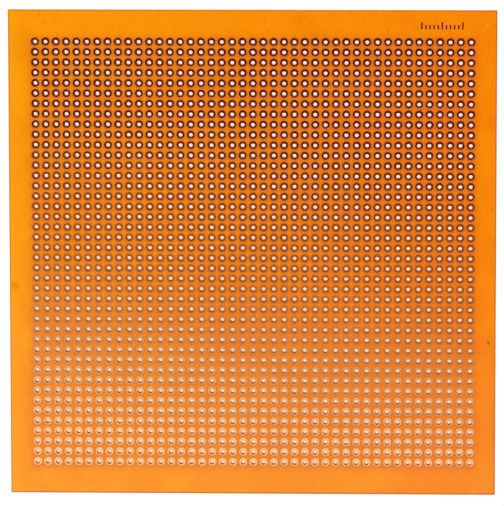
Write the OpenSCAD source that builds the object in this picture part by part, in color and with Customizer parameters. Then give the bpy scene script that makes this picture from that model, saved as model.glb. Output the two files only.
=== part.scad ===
// Single-sided prototype board: a thin sheared laminate sheet, punched with a square grid of
// lead holes. Each hole has its own round copper pad on the upper face.
// The sheet lies flat, pads up. The origin is the centre of its underside.

/* [Hole grid] */
// Distance between neighbouring holes, both ways
pitch = 2.54; // [2.4:0.01:3]
// Number of holes from left to right
columns = 43; // [1:1:60]
// Number of rows of holes, from back to front
rows = 42; // [1:1:58]
// Diameter of a lead hole
lead_hole_d = 1; // [0.6:0.05:1.4]

/* [Laminate] */
// Thickness of the sheet
sheet_t = 1.6; // [0.8:0.1:3.2]
// From the centres of the first column of holes to the left edge
left_margin = 6.6; // [2:0.1:12]
// From the centres of the last column of holes to the right edge
right_margin = 6.3; // [2:0.1:12]
// From the centres of the first row of holes to the back edge
back_margin = 7.9; // [6.3:0.1:12]
// From the centres of the last row of holes to the front edge
front_margin = 7.8; // [2:0.1:12]

/* [Copper] */
// Diameter of a pad
pad_d = 2; // [1.5:0.05:2.3]
// Thickness of the copper foil
foil_t = 0.035; // [0.018:0.001:0.105]

/* [Etched scale] */
// Number of spaces between the bars of the scale
scale_spaces = 10; // [1:1:20]
// Distance from one bar to the next
scale_step = 1; // [0.6:0.1:2]
// Width of a bar
bar_w = 0.35; // [0.2:0.05:0.5]
// Length of a short bar
short_bar = 1.1; // [0.5:0.1:2]
// Length of a long bar, one at every fifth space
long_bar = 1.8; // [0.5:0.1:2]
// From the centres of the last column of holes back to the last bar
scale_inset = 2.1; // [0:0.1:10]
// From the centres of the first row of holes to the feet of the bars
scale_offset = 3.3; // [1.5:0.1:4]

/* [Hidden] */
$fn = 32;
sheet_w = left_margin + (columns - 1) * pitch + right_margin;
sheet_d = front_margin + (rows - 1) * pitch + back_margin;
spaces_per_long_bar = 5;
laminate_colour = [0.98, 0.55, 0.08];
copper_colour = [0.80, 0.45, 0.25];

// Two digits keep the rows in order by name, counted from the back
function row_name(row) = str("pads_row_", row < 10 ? "0" : "", row);
// Place of a hole's centre, with its column and row counted from one at the back left corner
function hole_x(column) = left_margin - sheet_w / 2 + (column - 1) * pitch;
function hole_y(row) = sheet_d / 2 - back_margin - (row - 1) * pitch;

module lead_hole() {
    circle(d = lead_hole_d);
}

// The sheet is one piece, with every hole punched right through
module laminate() {
    color(laminate_colour)
        linear_extrude(sheet_t)
            difference() {
                square([sheet_w, sheet_d], center = true);
                for (row = [1:rows], column = [1:columns])
                    translate([hole_x(column), hole_y(row)])
                        lead_hole();
            }
}

// Copper left on the upper face where the foil wasn't etched away
module foil() {
    color(copper_colour)
        translate([0, 0, sheet_t])
            linear_extrude(foil_t)
                children();
}

module pad() {
    difference() {
        circle(d = pad_d);
        lead_hole();
    }
}

module pads_row(row) {
    foil()
        for (column = [1:columns])
            translate([hole_x(column), hole_y(row)])
                pad();
}

// A row of plain bars in the back right corner, one scale step apart
module etched_scale() {
    foil()
        for (space = [0:scale_spaces])
            translate([hole_x(columns) - scale_inset - space * scale_step, hole_y(1) + scale_offset])
                bar(space % spaces_per_long_bar == 0 ? long_bar : short_bar);
}

module bar(length) {
    translate([-bar_w / 2, 0])
        square([bar_w, length]);
}

laminate();
for (row = [1:rows])
    pads_row(row);
etched_scale();
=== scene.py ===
"""Looks of the prototype board: a punched phenolic sheet and its rings of bare copper.

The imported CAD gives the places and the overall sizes. The sheet, the pads and the etched scale
are built again here with the small forms that the solids leave out: the sheared and rolled edge
of the sheet, the etched flanks of the copper and the lip that the punch drew into each hole.
"""

import math
import random

import bpy
from mathutils import Matrix, Vector


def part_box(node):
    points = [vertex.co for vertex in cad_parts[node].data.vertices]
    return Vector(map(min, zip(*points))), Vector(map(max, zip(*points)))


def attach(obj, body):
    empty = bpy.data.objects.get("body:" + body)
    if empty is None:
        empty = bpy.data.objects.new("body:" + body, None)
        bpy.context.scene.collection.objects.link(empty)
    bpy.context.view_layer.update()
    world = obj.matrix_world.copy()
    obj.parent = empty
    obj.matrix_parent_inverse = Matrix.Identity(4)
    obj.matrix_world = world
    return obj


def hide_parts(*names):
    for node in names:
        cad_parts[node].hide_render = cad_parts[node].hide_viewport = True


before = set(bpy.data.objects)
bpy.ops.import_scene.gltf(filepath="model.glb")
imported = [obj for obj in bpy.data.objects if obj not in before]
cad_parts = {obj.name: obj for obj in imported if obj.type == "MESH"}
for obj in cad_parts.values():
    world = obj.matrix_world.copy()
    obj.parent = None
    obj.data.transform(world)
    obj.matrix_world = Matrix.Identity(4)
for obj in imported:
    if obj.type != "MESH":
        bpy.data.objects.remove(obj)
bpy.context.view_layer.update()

MM = 0.001

# Sheet. EDGE_SHARES places the mesh lines near an edge, as shares of the rolled width.
HOLE_SEGMENTS = 24
LEAD_HOLE_RADIUS = 0.5 * MM
LAMINATE_HOLE_RADIUS = 0.52 * MM
HOLE_EXIT_RADIUS = 0.46 * MM
ROLL_WIDTH = 0.45 * MM
ROLL_DROP = 0.09 * MM
UNDERSIDE_ROLL_SHARE = 0.4
EDGE_SHARES = (0.0, 0.12, 0.4, 1.0, 1.8)
BURNISHED_DEPTH = 0.5 * MM
TORN_DEPTH = 0.7 * MM
TORN_FOOT = 0.25 * MM
FRACTURE_STEP = 0.03 * MM
SHEET_CREASE = math.radians(50)
EDGE_SEED = 7
FACE, CUT, BORE = range(3)  # the sheet's materials, in their order

# Copper. LIP_SHARES goes down the lip: share of its reach, then share of its depth.
PAD_SHIFT = Vector((0.03 * MM, 0.15 * MM))
PAD_TWIST = 0.0005
PAD_WANDER = 0.012 * MM
PAD_GROWTH = 0.01 * MM
PAD_SEED = 2587
COPPER_CREASE = math.radians(35)
FLANK = 0.015 * MM
LIP_REACH = 0.04 * MM
LIP_DEPTH = 0.03 * MM
LIP_SHARES = ((1.6, 0.0), (0.8, 0.03), (0.3, 0.3), (0.0, 1.0))
BAR_WIDTH = 0.35 * MM
SHORT_BAR = 1.1 * MM
SPACES_PER_LONG_BAR = 5
BAR_CORNER = 0.09 * MM
BAR_CORNER_STEPS = 4

# Colours, as linear RGB
SHEET_TONE = (0.945, 0.276, 0.0004)
SHEET_PALE = (0.985, 0.330, 0.0015)
SHEET_FIBRE = (0.85, 0.200, 0.0006)
RED_TINT = (1.0, 0.80, 1.0)
# Painted light: the face paler towards the left edge
LEFT_EDGE_LIGHT_TONE = (0.97, 0.37, 0.006)
# Dark rim: partly dirt on the sheared rim, partly painted shade
RIM_DIRT_AND_SHADE = (0.66, 0.60, 0.60)
# Painted shade: redder and darker among the pads, and darker still right beside each pad
GRID_SHADE_TINT = (0.91, 0.81, 1.0)
PAD_SHADE_TONE = (0.73, 0.200, 0.015)
PALE_MARK = (1.0, 0.45, 0.05)
CUT_TONE = (0.50, 0.13, 0.015)
CUT_FIBRE = (0.74, 0.30, 0.07)
HALO_TONE = (0.96, 0.42, 0.10)
DIRT_TONE = (0.16, 0.035, 0.008)
SMEAR_TONE = (0.84, 0.17, 0.0)
COPPER_CLEAN = (0.96, 0.64, 0.32)
COPPER_STAINED = (0.93, 0.49, 0.19)
RED_OXIDE = (0.75, 0.015, 0.002)
# Hole walls: darker than the face, painted shade inside the holes
BORE_SHADE_TONE = (0.72, 0.22, 0.040)
BORE_SHADE_FIBRE = (0.80, 0.30, 0.070)
PAPER_OPEN = (0.92, 0.92, 0.92)
# Painted light on the paper under the sheet: warm, and darker and more orange towards the front
PAPER_BEHIND_BACK = (1.05, 0.80, 0.76)
PAPER_BEHIND_FRONT = (1.05, 0.69, 0.42)
PAPER_LIT = (0.15, 0.15, 0.15)
PAPER_BOUNCING = (0.8, 0.8, 0.8)

# Where tints and painted light and shade start and are full: distance from the outer holes, a
# hole or the sheet's edge
GRID_SHADE_REACH = (3.2 * MM, 0.4 * MM)
PAD_SHADE_REACH = (1.6 * MM, 1.25 * MM)
BURST_REACH = (0.95 * MM, 0.62 * MM)
RIM_DIRT_AND_SHADE_REACH = (0.5 * MM, 0.1 * MM)
LEFT_EDGE_LIGHT_REACH = 4 * MM

# Marks on the face: place on the board, radius (all mm), how strong, and the tone
MARKS = (
    ((-58.5, -8.3), 1.9, 0.65, SMEAR_TONE),
    ((58.0, -22.0), 0.7, 0.7, DIRT_TONE),
    ((58.6, -19.7), 0.4, 0.3, DIRT_TONE),
    ((57.5, -24.4), 0.8, 0.6, SMEAR_TONE),
    ((55.6, -24.3), 0.8, 0.7, SMEAR_TONE),
    ((14.1, 37.0), 0.85, 0.7, DIRT_TONE),
    ((57.3, 56.4), 0.8, 0.35, PALE_MARK),
)

# Studio, in metres
FLOOR_REACH = 6.0
FLOOR_GAP = 0.05 * MM
UNDER_SHEET_GLOW_LEVEL = 0.7
CEILING_LEVEL = 0.003
WALL_LEVEL = 0.5
WALL_TOP, CEILING_START = 0.45, 0.75
SOFTBOX_SIZE = (1.3, 1.3)
SOFTBOX_LEVEL = 5.85
SOFTBOX_SIDE, SOFTBOX_BACK, SOFTBOX_HEIGHT = 1.40, 0.80, 0.65
PANEL_SIZE = (0.46, 0.30)
PANEL_X, PANEL_BACK_EDGE, PANEL_HEIGHT = -0.10, -0.002, 0.30
PANEL_ROLL = math.radians(-6)
PANEL_FADE = 0.107
PANEL_LEVEL = 1.14
PANEL_EDGE_TONE = (1.0, 0.42, 0.02)
PANEL_TONE = (1.0, 0.98, 0.98)

# Camera, found from the perspective of the hole grid in the photograph
CAMERA_PLACE = Vector((44.42, 170.38, 1244.8)) * MM
CAMERA_TARGET = Vector((-0.11, 0.11, 1.6)) * MM
CAMERA_ROLL = math.radians(-0.06)
CAMERA_LENS = 363.7
CAMERA_SENSOR = 36.0
CAMERA_CLIP = (0.05, 20.0)


# ---------------------------------------------------------------- places from the CAD


def pad_rows():
    """The CAD nodes of the pad rows, from the back of the board to the front."""
    return sorted(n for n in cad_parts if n.startswith("pads_row_"))


def middle(low, high):
    """The point halfway between two corners."""
    return (low + high) / 2


ROWS = pad_rows()
SHEET_LOW, SHEET_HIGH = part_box("laminate")
ROW_Y = [middle(*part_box(row)).y for row in ROWS]
FIRST_LOW, FIRST_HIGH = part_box(ROWS[0])
PAD_RADIUS = (FIRST_HIGH.y - FIRST_LOW.y) / 2
FOIL = FIRST_HIGH.z - SHEET_HIGH.z
PITCH = (ROW_Y[0] - ROW_Y[-1]) / (len(ROWS) - 1)
FIRST_X, LAST_X = FIRST_LOW.x + PAD_RADIUS, FIRST_HIGH.x - PAD_RADIUS
COLUMNS = round((LAST_X - FIRST_X) / PITCH) + 1
COLUMN_X = [FIRST_X + i * PITCH for i in range(COLUMNS)]


# ---------------------------------------------------------------- meshes


def add_piece(name, points, faces, nodes, materials, crease, uses=None):
    """A mesh piece that stands for CAD nodes, smooth but for edges steeper than the crease."""
    mesh = bpy.data.meshes.new(name)
    mesh.from_pydata(points, [], faces)
    for material in materials:
        mesh.materials.append(material)
    if uses:
        mesh.polygons.foreach_set("material_index", uses)
    mesh.polygons.foreach_set("use_smooth", [True] * len(faces))
    mesh.set_sharp_from_angle(angle=crease)
    mesh.update()
    piece = bpy.data.objects.new(name, mesh)
    bpy.context.scene.collection.objects.link(piece)
    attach(piece, "root")
    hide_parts(*nodes)


def circle(radius):
    """Corners of a round outline about the origin."""
    turn, steps = 2 * math.pi / HOLE_SEGMENTS, range(HOLE_SEGMENTS)
    return [(radius * math.cos(i * turn), radius * math.sin(i * turn)) for i in steps]


def cell_lines(low, high, centres):
    """Lines that cut the sheet: its rolled edges, then one cell to each hole."""
    borders = [centres[0] - PITCH / 2] + [c + PITCH / 2 for c in centres]
    near = [low + share * ROLL_WIDTH for share in EDGE_SHARES]
    far = [high - share * ROLL_WIDTH for share in EDGE_SHARES[::-1]]
    return near + borders + far


def rolled(distance):
    """How far the sheared edge has sunk, at a distance from it."""
    share = max(0.0, 1 - distance / ROLL_WIDTH)
    return ROLL_DROP * share**2


class SheetMesh:
    """The sheet's points and faces, on a grid of lines with one cell to each hole."""

    def __init__(self):
        """The grid's lines, and nothing on them yet."""
        self.xs = cell_lines(SHEET_LOW.x, SHEET_HIGH.x, COLUMN_X)
        self.ys = cell_lines(SHEET_LOW.y, SHEET_HIGH.y, ROW_Y[::-1])
        self.points, self.faces, self.uses = [], [], []

    def corner(self, layer, i, j):
        """The number of a grid point in a layer."""
        return layer + j * len(self.xs) + i

    def add_face(self, corners, use, flip=False):
        """A face that is made of one of the sheet's materials."""
        self.faces.append(tuple(corners)[::-1] if flip else tuple(corners))
        self.uses.append(use)

    def edge_distance(self, x, y):
        """How far inside the nearest edge a place is."""
        return min(x - self.xs[0], self.xs[-1] - x, y - self.ys[0], self.ys[-1] - y)

    def add_layer(self, height, sink):
        """A layer of grid points, sunk at the edge by a share of the roll; its first's number."""
        start = len(self.points)
        for y in self.ys:
            for x in self.xs:
                self.points.append((x, y, height - sink * rolled(self.edge_distance(x, y))))
        return start

    def border(self):
        """The grid points along the edge, once round."""
        nx, ny = len(self.xs), len(self.ys)
        front_and_right = [(i, 0) for i in range(nx)] + [(nx - 1, j) for j in range(1, ny)]
        back = [(i, ny - 1) for i in range(nx - 2, -1, -1)]
        left = [(0, j) for j in range(ny - 2, 0, -1)]
        return front_and_right + back + left

    def add_belt(self, height, step, noise):
        """Points round the sheared wall, set in from the edge by a ragged step."""
        xs, ys, start = self.xs, self.ys, len(self.points)
        for i, j in self.border():
            inset = step * (1 + 0.5 * noise.uniform(-1, 1))
            x = min(max(xs[i], xs[0] + inset), xs[-1] - inset)
            y = min(max(ys[j], ys[0] + inset), ys[-1] - inset)
            self.points.append((x, y, height))
        return list(range(start, len(self.points)))

    def add_wall(self, upper, lower):
        """The sheared edge: smooth above, then torn back by a small ragged step."""
        top, bottom, border = SHEET_HIGH.z, SHEET_LOW.z, self.border()
        noise = random.Random(EDGE_SEED)
        belts = [
            [self.corner(upper, i, j) for i, j in border],
            self.add_belt(top - BURNISHED_DEPTH, 0.0, noise),
            self.add_belt(top - TORN_DEPTH, FRACTURE_STEP, noise),
            self.add_belt(bottom + TORN_FOOT, 1.5 * FRACTURE_STEP, noise),
            [self.corner(lower, i, j) for i, j in border],
        ]
        for above, below in zip(belts, belts[1:]):
            for k in range(len(border)):
                n = (k + 1) % len(border)
                self.add_face((above[k], below[k], below[n], above[n]), CUT)

    def close_cell(self, layer, rim, i, j, flip):
        """The faces between a round hole and the corners of its cell."""
        around = [(i + 1, j + 1), (i, j + 1), (i, j), (i + 1, j)]
        ends = [self.corner(layer, a, b) for a, b in around]
        eighth = HOLE_SEGMENTS // 8
        for q in range(4):
            start = (2 * q + 1) * eighth
            for s in range(-eighth, eighth):
                a, b = (start + s) % HOLE_SEGMENTS, (start + s + 1) % HOLE_SEGMENTS
                self.add_face((ends[q], rim + b, rim + a), FACE, flip)
            last = (start + eighth) % HOLE_SEGMENTS
            self.add_face((ends[q], ends[(q + 1) % 4], rim + last), FACE, flip)

    def add_rim(self, centre, radius, height):
        """The points round one end of a hole, and the number of the first."""
        start = len(self.points)
        self.points.extend((centre[0] + x, centre[1] + y, height) for x, y in circle(radius))
        return start

    def add_cell(self, upper, lower, i, j):
        """One cell of both faces, with its hole if it has one."""
        column, row = i - len(EDGE_SHARES), j - len(EDGE_SHARES)
        if not (0 <= column < COLUMNS and 0 <= row < len(ROWS)):
            quad = [(i, j), (i + 1, j), (i + 1, j + 1), (i, j + 1)]
            self.add_face([self.corner(upper, *q) for q in quad], FACE)
            self.add_face([self.corner(lower, *q) for q in quad], FACE, flip=True)
            return
        centre = COLUMN_X[column], ROW_Y[::-1][row]
        entry = self.add_rim(centre, LAMINATE_HOLE_RADIUS, SHEET_HIGH.z)
        leave = self.add_rim(centre, HOLE_EXIT_RADIUS, SHEET_LOW.z)
        self.close_cell(upper, entry, i, j, False)
        self.close_cell(lower, leave, i, j, True)
        for a in range(HOLE_SEGMENTS):
            b = (a + 1) % HOLE_SEGMENTS
            self.add_face((entry + a, entry + b, leave + b, leave + a), BORE)


def build_sheet(materials):
    """The sheet as one closed mesh, with holes that narrow towards its underside."""
    sheet = SheetMesh()
    upper = sheet.add_layer(SHEET_HIGH.z, 1.0)
    lower = sheet.add_layer(SHEET_LOW.z, -UNDERSIDE_ROLL_SHARE)
    sheet.add_wall(upper, lower)
    for j in range(len(sheet.ys) - 1):
        for i in range(len(sheet.xs) - 1):
            sheet.add_cell(upper, lower, i, j)
    faces, nodes, slot = sheet.faces, ["laminate"], "laminate"
    add_piece("sheet", sheet.points, faces, nodes, materials, SHEET_CREASE, sheet.uses)


def pad_profile():
    """Cross-section of a pad: radius, height over the sheet, and how far it follows the shift."""
    flank = [(PAD_RADIUS + FLANK / 2, 0.0, 1.0), (PAD_RADIUS - FLANK / 2, FOIL, 1.0)]
    lip = [
        (LEAD_HOLE_RADIUS + reach * LIP_REACH, FOIL - depth * LIP_DEPTH, 0.0)
        for reach, depth in LIP_SHARES
    ]
    return flank + lip + [(LAMINATE_HOLE_RADIUS, 0.0, 0.0)]


def build_pad_row(row, copper, noise):
    """One row of pads, each slightly out of register with its punched hole."""
    node, y = ROWS[row], ROW_Y[row]
    profile = pad_profile()
    ring = circle(1.0)
    points, faces = [], []
    for x in COLUMN_X:
        start = len(points)
        shift = PAD_SHIFT + PAD_TWIST * Vector((-y, x))
        shift += Vector((noise.gauss(0, PAD_WANDER), noise.gauss(0, PAD_WANDER)))
        growth = noise.gauss(0, PAD_GROWTH)
        for radius, height, follow in profile:
            reach = radius + growth * follow
            dx, dy = shift.x * follow, shift.y * follow
            level = SHEET_HIGH.z + height
            points.extend((x + c * reach + dx, y + s * reach + dy, level) for c, s in ring)
        for p in range(len(profile)):
            here = start + p * HOLE_SEGMENTS
            there = start + (p + 1) % len(profile) * HOLE_SEGMENTS
            for a in range(HOLE_SEGMENTS):
                b = (a + 1) % HOLE_SEGMENTS
                faces.append((here + a, here + b, there + b, there + a))
    add_piece("copper_" + node, points, faces, [node], [copper], COPPER_CREASE)


def bar_outline(length):
    """Outline of one bar of the scale, from its foot up, with corners rounded by the etch."""
    half, high, outline = BAR_WIDTH / 2 - BAR_CORNER, length - BAR_CORNER, []
    centres = ((half, high), (-half, high), (-half, BAR_CORNER), (half, BAR_CORNER))
    for quarter, (cx, cy) in enumerate(centres):
        for s in range(BAR_CORNER_STEPS + 1):
            a = (quarter + s / BAR_CORNER_STEPS) * math.pi / 2
            outline.append((cx + BAR_CORNER * math.cos(a), cy + BAR_CORNER * math.sin(a)))
    return outline


def build_scale(copper):
    """The plain bar scale, etched from the same foil as the pads."""
    low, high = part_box("etched_scale")
    spaces = round((high.x - low.x - BAR_WIDTH) / MM)
    step = (high.x - low.x - BAR_WIDTH) / spaces
    points, faces = [], []
    for space in range(spaces + 1):
        is_long = space % SPACES_PER_LONG_BAR == 0
        length = high.y - low.y if is_long else SHORT_BAR
        x = high.x - BAR_WIDTH / 2 - space * step
        outline = bar_outline(length)
        count, start = len(outline), len(points)
        for height, spread in ((0.0, FLANK / 2), (FOIL, -FLANK / 2)):
            for px, py in outline:
                sx = 1 + 2 * spread / BAR_WIDTH
                sy = 1 + 2 * spread / length
                y = low.y + length / 2 + (py - length / 2) * sy
                points.append((x + px * sx, y, SHEET_HIGH.z + height))
        for a in range(count):
            b = (a + 1) % count
            faces.append((start + a, start + b, start + count + b, start + count + a))
        faces.append(tuple(range(start + count, start + 2 * count)))
        faces.append(tuple(range(start + count - 1, start - 1, -1)))
    nodes = ["etched_scale"]
    add_piece("copper_scale", points, faces, nodes, [copper], COPPER_CREASE)


# ---------------------------------------------------------------- shader helpers


def new_material(name):
    """A material with its Principled shader, the node tree and the object's coordinates."""
    material = bpy.data.materials.new(name)
    material.use_nodes = True
    tree = material.node_tree
    shader = next(n for n in tree.nodes if n.type == "BSDF_PRINCIPLED")
    place = tree.nodes.new("ShaderNodeTexCoord").outputs["Object"]
    return material, tree, shader, place


def plug(tree, socket, value):
    """Sets a socket to a plain value, or links another socket to it."""
    if isinstance(value, bpy.types.NodeSocket):
        tree.links.new(value, socket)
    elif isinstance(value, tuple) and len(value) == 3 and socket.type == "RGBA":
        socket.default_value = (*value, 1.0)
    else:
        socket.default_value = value


def maths(tree, operation, *values):
    """A Math node's result."""
    n = tree.nodes.new("ShaderNodeMath")
    n.operation = operation
    for socket, value in zip(n.inputs, values):
        plug(tree, socket, value)
    return n.outputs[0]


def noise_at(tree, place, feature, stretch=(1.0, 1.0, 1.0), detail=2.0, rough=0.5):
    """Noise whose features are about the given size in metres, longer along a stretched axis."""
    scaled = tree.nodes.new("ShaderNodeVectorMath")
    scaled.operation = "DIVIDE"
    plug(tree, scaled.inputs[0], place)
    plug(tree, scaled.inputs[1], tuple(feature * s for s in stretch))
    n = tree.nodes.new("ShaderNodeTexNoise")
    plug(tree, n.inputs["Vector"], scaled.outputs[0])
    n.inputs["Scale"].default_value = 1.0
    n.inputs["Detail"].default_value = detail
    n.inputs["Roughness"].default_value = rough
    return n.outputs["Fac"]


def ramp(tree, value, start, end, low=0.0, high=1.0):
    """A value carried smoothly from one range to another."""
    n = tree.nodes.new("ShaderNodeMapRange")
    n.interpolation_type = "SMOOTHSTEP"
    for name, v in (("Value", value), ("From Min", start), ("From Max", end)):
        plug(tree, n.inputs[name], v)
    n.inputs["To Min"].default_value = low
    n.inputs["To Max"].default_value = high
    return n.outputs["Result"]


def blend(tree, factor, first, second):
    """A mix of two colours."""
    n = tree.nodes.new("ShaderNodeMix")
    n.data_type = "RGBA"
    plug(tree, n.inputs[0], factor)
    plug(tree, n.inputs[6], first)
    plug(tree, n.inputs[7], second)
    return n.outputs[2]


def tinted(tree, factor, colour, tint):
    """A colour multiplied by a tint, as far as the factor says."""
    n = tree.nodes.new("ShaderNodeMix")
    n.data_type, n.blend_type = "RGBA", "MULTIPLY"
    plug(tree, n.inputs[0], factor)
    plug(tree, n.inputs[6], colour)
    plug(tree, n.inputs[7], tint)
    return n.outputs[2]


def add_bump(tree, shader, height, depth):
    """Relief of a given depth in metres."""
    n = tree.nodes.new("ShaderNodeBump")
    n.inputs["Strength"].default_value = 1.0
    n.inputs["Distance"].default_value = depth
    plug(tree, n.inputs["Height"], height)
    tree.links.new(n.outputs["Normal"], shader.inputs["Normal"])


def axes(tree, vector):
    """The three parts of a vector."""
    n = tree.nodes.new("ShaderNodeSeparateXYZ")
    plug(tree, n.inputs[0], vector)
    return n.outputs


def mark_mask(tree, place, ragged, spot, radius):
    """1 inside a ragged round mark on the face, fading to 0 at its rim."""
    n = tree.nodes.new("ShaderNodeVectorMath")
    n.operation = "DISTANCE"
    plug(tree, n.inputs[0], place)
    n.inputs[1].default_value = (spot[0] * MM, spot[1] * MM, SHEET_HIGH.z)
    uneven = maths(tree, "MULTIPLY_ADD", ragged, 1.2 * radius * MM, n.outputs["Value"])
    return ramp(tree, uneven, 1.5 * radius * MM, 0.7 * radius * MM)


def from_hole(tree, place):
    """Distance from the axis of the nearest hole."""
    x, y, _ = axes(tree, place)

    def offset(value, first, last):
        """How far a place is from the nearest line of holes, along one axis."""
        cells = maths(tree, "DIVIDE", maths(tree, "SUBTRACT", value, first), PITCH)
        cells = maths(tree, "MAXIMUM", maths(tree, "ROUND", cells), 0.0)
        cells = maths(tree, "MINIMUM", cells, round((last - first) / PITCH))
        return maths(tree, "SUBTRACT", value, maths(tree, "MULTIPLY_ADD", cells, PITCH, first))

    square_x = maths(tree, "POWER", offset(x, FIRST_X, LAST_X), 2.0)
    square_y = maths(tree, "POWER", offset(y, ROW_Y[-1], ROW_Y[0]), 2.0)
    return maths(tree, "SQRT", maths(tree, "ADD", square_x, square_y))


# ---------------------------------------------------------------- materials


def paper_tone(tree, y, clouds, fibres, flecks):
    """Cloudy orange with darker fibres and pale flecks, a little paler towards the back."""
    pale = maths(tree, "MULTIPLY_ADD", y, 0.13 / SHEET_HIGH.y, clouds)
    tone = blend(tree, ramp(tree, pale, 0.3, 0.7), SHEET_TONE, SHEET_PALE)
    tone = blend(tree, ramp(tree, fibres, 0.52, 0.8, 0.0, 0.8), tone, SHEET_FIBRE)
    return blend(tree, ramp(tree, flecks, 0.6, 0.85, 0.0, 0.6), tone, SHEET_PALE)


def shade_among_pads(tree, tone, place, underside):
    """Painted shade: the upper face is redder and darker among the pads, and darker right beside
    each, most at the back.
    """
    x, y, _ = axes(tree, place)
    beyond_x = maths(tree, "ABSOLUTE", maths(tree, "SUBTRACT", x, (FIRST_X + LAST_X) / 2))
    beyond_y = maths(tree, "ABSOLUTE", maths(tree, "SUBTRACT", y, (ROW_Y[0] + ROW_Y[-1]) / 2))
    beyond_x = maths(tree, "SUBTRACT", beyond_x, (LAST_X - FIRST_X) / 2)
    beyond_y = maths(tree, "SUBTRACT", beyond_y, (ROW_Y[0] - ROW_Y[-1]) / 2)
    # painted shade among the pads
    among = ramp(tree, maths(tree, "MAXIMUM", beyond_x, beyond_y), *GRID_SHADE_REACH)
    among = maths(tree, "MULTIPLY", among, maths(tree, "SUBTRACT", 1.0, underside))
    tone = tinted(tree, among, tone, GRID_SHADE_TINT)
    # painted shade right beside each pad
    beside = ramp(tree, from_hole(tree, place), *PAD_SHADE_REACH, 0.0, 0.85)
    fading = ramp(tree, y, ROW_Y[-1], 0.3 * ROW_Y[0], 0.6, 1.0)
    beside = maths(tree, "MULTIPLY", maths(tree, "MULTIPLY", beside, fading), among)
    return blend(tree, beside, tone, PAD_SHADE_TONE)


def tone_by_edges(tree, tone, place):
    """Redder to the right and the back, painted light making the face paler at the left edge, and
    dark along the rim: partly dirt, partly painted shade.
    """
    x, y, _ = axes(tree, place)
    lean = maths(tree, "MULTIPLY_ADD", y, 0.4, x)
    tone = tinted(tree, ramp(tree, lean, SHEET_LOW.x, 1.35 * SHEET_HIGH.x), tone, RED_TINT)
    # painted light: paler towards the left edge
    left_light = ramp(tree, x, SHEET_LOW.x + LEFT_EDGE_LIGHT_REACH, SHEET_LOW.x, 0.0, 0.6)
    tone = blend(tree, left_light, tone, LEFT_EDGE_LIGHT_TONE)
    # dark along the rim: partly dirt, partly painted shade
    inside_x = maths(tree, "SUBTRACT", SHEET_HIGH.x, maths(tree, "ABSOLUTE", x))
    inside_y = maths(tree, "SUBTRACT", SHEET_HIGH.y, maths(tree, "ABSOLUTE", y))
    inside = maths(tree, "MINIMUM", inside_x, inside_y)
    return tinted(tree, ramp(tree, inside, *RIM_DIRT_AND_SHADE_REACH), tone, RIM_DIRT_AND_SHADE)


def burst_rims(tree, place, ragged, underside):
    """1 on the underside where the punch burst the paper round its exit, fading outwards."""
    uneven = maths(tree, "MULTIPLY_ADD", ragged, 0.3 * MM, from_hole(tree, place))
    return maths(tree, "MULTIPLY", ramp(tree, uneven, *BURST_REACH), underside)


def face_material():
    """Pressed paper and resin: cloudy colour, fine fibres, a few marks, and a glossy skin."""
    material, tree, shader, place = new_material("laminate_face")
    clouds = noise_at(tree, place, 9 * MM, detail=3.0)
    fibres = noise_at(tree, place, 0.5 * MM, (1.0, 4.0, 1.0), detail=3.0, rough=0.65)
    flecks = noise_at(tree, place, 0.35 * MM, (2.5, 1.0, 1.0), detail=2.0, rough=0.7)
    ragged = noise_at(tree, place, 0.5 * MM, detail=3.0, rough=0.7)
    normal = tree.nodes.new("ShaderNodeTexCoord").outputs["Normal"]
    underside = maths(tree, "LESS_THAN", axes(tree, normal)[2], 0.0)

    tone = paper_tone(tree, axes(tree, place)[1], clouds, fibres, flecks)
    tone = shade_among_pads(tree, tone, place, underside)
    tone = tone_by_edges(tree, tone, place)
    for spot, radius, strength, colour in MARKS:
        mask = mark_mask(tree, place, ragged, spot, radius)
        tone = blend(tree, maths(tree, "MULTIPLY", mask, strength), tone, colour)
    halo = burst_rims(tree, place, ragged, underside)
    tone = blend(tree, maths(tree, "MULTIPLY", halo, 0.6), tone, HALO_TONE)
    plug(tree, shader.inputs["Base Color"], tone)

    shader.inputs["Specular IOR Level"].default_value = 0.37
    plug(tree, shader.inputs["Roughness"], ramp(tree, fibres, 0.2, 0.8, 0.2, 0.26))
    relief = maths(tree, "MULTIPLY_ADD", fibres, 0.6, maths(tree, "MULTIPLY", flecks, 0.4))
    relief = maths(tree, "SUBTRACT", relief, maths(tree, "MULTIPLY", halo, 2.0))
    add_bump(tree, shader, relief, 0.006 * MM)
    return material


def cut_material():
    """The sheared edge: bare layers of paper, rough and browner."""
    material, tree, shader, place = new_material("laminate_cut")
    layers = noise_at(tree, place, 0.12 * MM, (12.0, 12.0, 1.0), detail=2.0, rough=0.6)
    grit = noise_at(tree, place, 0.09 * MM, detail=3.0, rough=0.7)
    tone = blend(tree, ramp(tree, layers, 0.4, 0.65), CUT_TONE, CUT_FIBRE)
    tone = blend(tree, ramp(tree, grit, 0.55, 0.8, 0.0, 0.5), tone, HALO_TONE)
    plug(tree, shader.inputs["Base Color"], tone)
    plug(tree, shader.inputs["Roughness"], ramp(tree, grit, 0.3, 0.7, 0.55, 0.8))
    add_bump(tree, shader, maths(tree, "ADD", layers, grit), 0.02 * MM)
    return material


def bore_material():
    """Walls of the punched holes: darker and browner than the face, a painted shade for the
    inside of the holes.
    """
    material, tree, shader, place = new_material("laminate_bore")
    layers = noise_at(tree, place, 0.15 * MM, (8.0, 8.0, 1.0), detail=2.0, rough=0.6)
    # painted shade: the hole walls darker than the face
    tone = blend(tree, ramp(tree, layers, 0.45, 0.75), BORE_SHADE_TONE, BORE_SHADE_FIBRE)
    plug(tree, shader.inputs["Base Color"], tone)
    plug(tree, shader.inputs["Roughness"], ramp(tree, layers, 0.3, 0.7, 0.6, 0.8))
    shader.inputs["Specular IOR Level"].default_value = 0.1
    add_bump(tree, shader, layers, 0.01 * MM)
    return material


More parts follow.
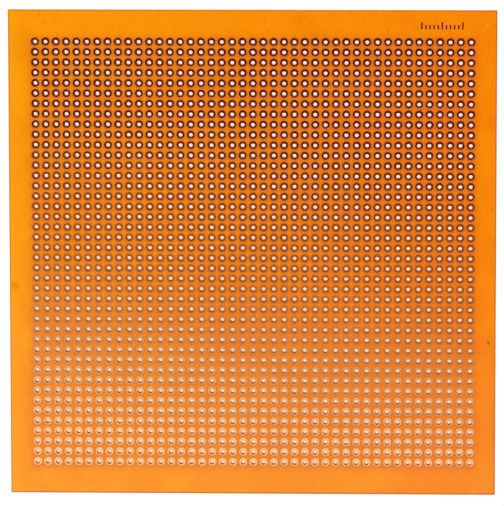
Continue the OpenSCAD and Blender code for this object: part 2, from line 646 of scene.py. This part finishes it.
def copper_material():
    """Copper foil: scrubbed clean in places, stained in others, with specks of red oxide."""
    material, tree, shader, place = new_material("copper_foil")
    drift = noise_at(tree, place, 6 * MM, detail=2.0)
    tarnish = noise_at(tree, place, 0.12 * MM, detail=3.0, rough=0.6)
    specks = noise_at(tree, place, 0.015 * MM, detail=1.0)
    scrub = noise_at(tree, place, 0.05 * MM, (12.0, 1.0, 1.0), detail=2.0, rough=0.6)

    patches = maths(tree, "MULTIPLY_ADD", drift, 0.2, tarnish)
    stained = ramp(tree, patches, 0.52, 0.74)
    oxide = ramp(tree, specks, 0.58, 0.64)
    tone = blend(tree, stained, COPPER_CLEAN, COPPER_STAINED)
    plug(tree, shader.inputs["Base Color"], blend(tree, oxide, tone, RED_OXIDE))
    plug(tree, shader.inputs["Metallic"], maths(tree, "SUBTRACT", 1.0, oxide))
    dull = maths(tree, "MULTIPLY_ADD", stained, 0.05, 0.07)
    uneven = ramp(tree, scrub, 0.3, 0.7, 0.0, 0.03)
    plug(tree, shader.inputs["Roughness"], maths(tree, "ADD", dull, uneven))
    add_bump(tree, shader, scrub, 0.0012 * MM)
    return material


def join_shaders(tree, kind, first, second, factor=None):
    """Two shaders added or mixed."""
    n = tree.nodes.new(kind)
    if factor is not None:
        tree.links.new(factor, n.inputs[0])
    tree.links.new(first, n.inputs[-2])
    tree.links.new(second, n.inputs[-1])
    return n.outputs[0]


def diffuse(tree, colour):
    """A matt shader."""
    n = tree.nodes.new("ShaderNodeBsdfDiffuse")
    plug(tree, n.inputs["Color"], colour)
    return n.outputs[0]


def emission(tree, colour, strength=1.0):
    """A glowing shader."""
    n = tree.nodes.new("ShaderNodeEmission")
    plug(tree, n.inputs["Color"], colour)
    plug(tree, n.inputs["Strength"], strength)
    return n.outputs[0]


def floor_material():
    """White paper, with a warm cast under the sheet from the light that comes through it.

    Only the camera and mirrors see it white. Other light finds matt paper that glows under the
    sheet, which lights the sheet's underside. From below the paper is clear.
    """
    material, tree, shader, place = new_material("floor")
    output = next(n for n in tree.nodes if n.type == "OUTPUT_MATERIAL")
    tree.nodes.remove(shader)
    path = tree.nodes.new("ShaderNodeLightPath").outputs
    seen = maths(tree, "MAXIMUM", path["Is Camera Ray"], path["Is Glossy Ray"])
    seen = maths(tree, "MAXIMUM", seen, path["Is Transmission Ray"])

    x, y, _ = axes(tree, place)
    reach_x = maths(tree, "DIVIDE", maths(tree, "ABSOLUTE", x), SHEET_HIGH.x)
    reach_y = maths(tree, "DIVIDE", maths(tree, "ABSOLUTE", y), SHEET_HIGH.y)
    outward = maths(tree, "MAXIMUM", reach_x, reach_y)
    # painted light and shade under the sheet: a warm glow, darker and more orange towards the
    # front
    forward = ramp(tree, y, 0.75 * ROW_Y[0], 0.65 * ROW_Y[-1])
    behind = blend(tree, forward, PAPER_BEHIND_BACK, PAPER_BEHIND_FRONT)
    glow = emission(tree, blend(tree, ramp(tree, outward, 0.98, 0.92), PAPER_OPEN, behind))
    # painted glow under the sheet, which other rays find
    level = ramp(tree, outward, 1.0, 0.99, 0.0, UNDER_SHEET_GLOW_LEVEL)
    under_sheet_glow = emission(tree, (1.0, 1.0, 1.0), level)

    lit = join_shaders(tree, "ShaderNodeAddShader", diffuse(tree, PAPER_LIT), glow)
    unseen = join_shaders(tree, "ShaderNodeAddShader", diffuse(tree, PAPER_BOUNCING), under_sheet_glow)
    front = join_shaders(tree, "ShaderNodeMixShader", unseen, lit, seen)
    clear = tree.nodes.new("ShaderNodeBsdfTransparent").outputs[0]
    from_below = tree.nodes.new("ShaderNodeNewGeometry").outputs["Backfacing"]
    surface = join_shaders(tree, "ShaderNodeMixShader", front, clear, from_below)
    tree.links.new(surface, output.inputs["Surface"])
    return material


# ---------------------------------------------------------------- studio


def aim(thing, place, target, roll):
    """Puts a lamp or the camera at a place, looking at a target, upright but for the roll."""
    back = (place - target).normalized()
    right = Vector((0, 1, 0)).cross(back).normalized()
    turned = Matrix((right, back.cross(right), back)).transposed().to_4x4()
    thing.matrix_world = Matrix.Translation(place) @ turned @ Matrix.Rotation(roll, 4, "Z")


def add_softbox(name, place, target, size, level, roll=0.0):
    """A rectangular lamp that is as bright as a level. Place, target and size are in metres."""
    lamp = bpy.data.lights.new(name, "AREA")
    lamp.shape, lamp.size, lamp.size_y = "RECTANGLE", size[0], size[1]
    lamp.energy = level * math.pi * size[0] * size[1]
    thing = bpy.data.objects.new(name, lamp)
    bpy.context.scene.collection.objects.link(thing)
    thing.visible_camera = False
    aim(thing, Vector(place), Vector(target), roll)
    return lamp


def feather(lamp, reach):
    """Lets a lamp fade out and turn warm towards its upper edge, over a share of its height."""
    lamp.use_nodes = True
    tree = lamp.node_tree
    glow = next(n for n in tree.nodes if n.type == "EMISSION")
    across = tree.nodes.new("ShaderNodeNewGeometry").outputs["Parametric"]
    fade = tree.nodes.new("ShaderNodeMapRange")
    tree.links.new(axes(tree, across)[1], fade.inputs["Value"])
    fade.inputs["From Min"].default_value = 1.0
    fade.inputs["From Max"].default_value = 1.0 - reach
    tree.links.new(fade.outputs["Result"], glow.inputs["Strength"])
    whitened = ramp(tree, fade.outputs["Result"], 0.3, 0.8)
    plug(tree, glow.inputs["Color"], blend(tree, whitened, PANEL_EDGE_TONE, PANEL_TONE))


def add_floor():
    """A wide floor a hair below the sheet."""
    mesh = bpy.data.meshes.new("floor")
    square = [(-1, -1), (1, -1), (1, 1), (-1, 1)]
    level = SHEET_LOW.z - FLOOR_GAP
    corners = [(x * FLOOR_REACH, y * FLOOR_REACH, level) for x, y in square]
    mesh.from_pydata(corners, [], [(0, 1, 2, 3)])
    mesh.materials.append(floor_material())
    floor = bpy.data.objects.new("floor", mesh)
    bpy.context.scene.collection.objects.link(floor)


def light_room():
    """Bright walls under a dark ceiling, so that the copper looks dark from straight above."""
    world = bpy.data.worlds.new("studio")
    bpy.context.scene.world = world
    world.use_nodes = True
    tree = world.node_tree
    sky = tree.nodes["Background"]
    height = axes(tree, tree.nodes.new("ShaderNodeTexCoord").outputs["Generated"])[2]
    level = ramp(tree, height, WALL_TOP, CEILING_START, WALL_LEVEL, CEILING_LEVEL)
    seen = tree.nodes.new("ShaderNodeLightPath").outputs["Is Camera Ray"]
    plug(tree, sky.inputs["Strength"], maths(tree, "MAXIMUM", level, seen))
    sky.inputs["Color"].default_value = (1.0, 1.0, 1.0, 1.0)


def light_studio():
    """Two softboxes light the colours evenly; a near panel is what the copper mirrors."""
    light_room()
    centre = (0.0, 0.0, 0.0)
    for name, side in (("left_softbox", -SOFTBOX_SIDE), ("right_softbox", SOFTBOX_SIDE)):
        place = (side, SOFTBOX_BACK, SOFTBOX_HEIGHT)
        add_softbox(name, place, centre, SOFTBOX_SIZE, SOFTBOX_LEVEL)
    panel_y = PANEL_BACK_EDGE - PANEL_SIZE[1] / 2
    place, under = (PANEL_X, panel_y, PANEL_HEIGHT), (PANEL_X, panel_y, 0.0)
    panel = add_softbox("near_panel", place, under, PANEL_SIZE, PANEL_LEVEL, PANEL_ROLL)
    feather(panel, PANEL_FADE / PANEL_SIZE[1])


def add_camera():
    """The camera of the photograph."""
    data = bpy.data.cameras.new("camera")
    data.lens, data.sensor_width = CAMERA_LENS, CAMERA_SENSOR
    data.clip_start, data.clip_end = CAMERA_CLIP
    camera = bpy.data.objects.new("camera", data)
    bpy.context.scene.collection.objects.link(camera)
    aim(camera, CAMERA_PLACE, CAMERA_TARGET, CAMERA_ROLL)
    bpy.context.scene.camera = camera


bpy.context.scene.view_settings.view_transform = "Standard"
build_sheet([face_material(), cut_material(), bore_material()])
foil = copper_material()
etch_noise = random.Random(PAD_SEED)
for row_index in range(len(ROWS)):
    build_pad_row(row_index, foil, etch_noise)
build_scale(foil)
add_floor()
light_studio()
add_camera()
